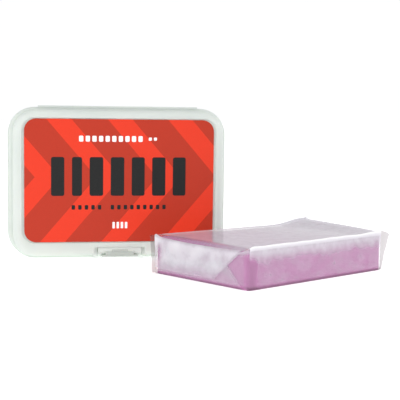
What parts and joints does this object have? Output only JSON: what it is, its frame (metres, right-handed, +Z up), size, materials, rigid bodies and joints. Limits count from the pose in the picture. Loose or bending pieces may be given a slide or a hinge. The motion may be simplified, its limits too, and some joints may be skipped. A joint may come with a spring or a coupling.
{
  "type": "clay bar",
  "caption": "Paint-cleaning clay bar in folded clear film, lying in front of its hinged, latched, labelled plastic case standing on edge.",
  "frame": {"origin": "bottom centre of the whole part's box, on the surface that the case and the bar stand on", "axes": "+X along the case's length, to the right seen from its label, +Y from the label to the tray, +Z up"},
  "size_m": [0.157, 0.1106, 0.0683],
  "materials": {
    "case_plastic": "satin",
    "label_print": "satin",
    "clay": "matte",
    "clear_film": "gloss"
  },
  "bodies": {
    "lid": {"lid_shell": "case_plastic", "front_label": "label_print", "living_hinge": "case_plastic"},
    "tray": {"tray_shell": "case_plastic"},
    "latch": {"latch_tongue": "case_plastic"},
    "wrapped_bar": {"clay_block": "clay", "film_sleeve": "clear_film", "film_seam": "clear_film", "film_tuck_front_near": "clear_film", "film_tuck_back_near": "clear_film", "film_flap_top_near": "clear_film", "film_flap_bottom_near": "clear_film", "film_tuck_front_far": "clear_film", "film_tuck_back_far": "clear_film", "film_flap_top_far": "clear_film", "film_flap_bottom_far": "clear_film"}
  },
  "joints": [
    {"name": "case_hinge", "type": "hinge", "parent": "lid", "child": "tray", "pos_m": [-0.02913, 0.03995, 0.0681], "axis": [1, 0, 0], "range_deg": [0, 180], "deforming": ["living_hinge"]},
    {"name": "latch_flex", "type": "hinge", "parent": "lid", "child": "latch", "pos_m": [-0.02913, 0.0296, 0.00535], "axis": [-1, 0, 0], "range_deg": [0, 4], "stiffness_Nm_per_rad": 0.05},
    {"name": "bar_lift", "type": "slide", "parent": "lid", "child": "wrapped_bar", "axis": [0, 0, 1], "range_m": [0, 0.15]}
  ]
}
